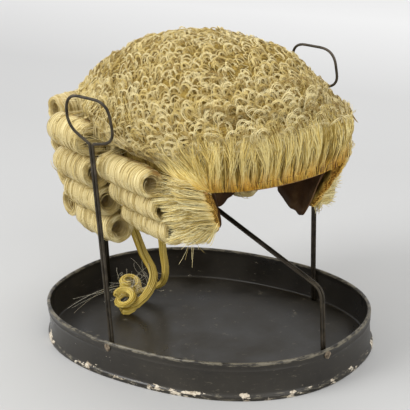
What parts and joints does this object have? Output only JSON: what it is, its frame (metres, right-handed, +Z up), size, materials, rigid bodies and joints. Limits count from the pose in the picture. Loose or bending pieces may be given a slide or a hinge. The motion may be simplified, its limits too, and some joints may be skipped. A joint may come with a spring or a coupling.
{
  "type": "barrister wig on wire stand",
  "caption": "Horsehair court wig with rolled curls, tied tails and a leather lining, resting on the bent wires of an oval black tin tray.",
  "frame": {"origin": "middle of the tray's flat underside", "axes": "+X along the tray's length to the side the wearer's face is on, +Y to the wearer's left, +Z up"},
  "size_m": [0.3024, 0.2511, 0.2732],
  "materials": {
    "japanned_tin": "worn black japan, chipped to bare tin",
    "steel_wire": "dull dark wire with worn bright spots",
    "cap_leather": "matt brown leather",
    "binding": "amber ribbon binding",
    "horsehair": "straw coloured horsehair, frizzed, combed and wound"
  },
  "bodies": {
    "root": {"tin_tray": "japanned_tin", "handle_right": "steel_wire", "handle_left": "steel_wire", "support_front": "steel_wire", "support_back": "steel_wire", "cap": "cap_leather", "crown_hair": "horsehair", "forepart_hair": "horsehair", "front_binding": "binding", "weft_base": "horsehair", "temple_lock_right": "horsehair", "temple_lock_left": "horsehair", "side_curl_right_1": "horsehair", "side_curl_right_2": "horsehair", "side_curl_right_3": "horsehair", "quarter_curl_right_1": "horsehair", "quarter_curl_right_2": "horsehair", "quarter_curl_right_3": "horsehair", "quarter_curl_right_4": "horsehair", "back_curl_right_1": "horsehair", "back_curl_right_2": "horsehair", "back_curl_right_3": "horsehair", "back_curl_right_4": "horsehair", "side_curl_left_1": "horsehair", "side_curl_left_2": "horsehair", "side_curl_left_3": "horsehair", "quarter_curl_left_1": "horsehair", "quarter_curl_left_2": "horsehair", "quarter_curl_left_3": "horsehair", "quarter_curl_left_4": "horsehair", "back_curl_left_1": "horsehair", "back_curl_left_2": "horsehair", "back_curl_left_3": "horsehair", "back_curl_left_4": "horsehair", "tail_right": "horsehair", "tail_left": "horsehair"}
  },
  "joints": []
}
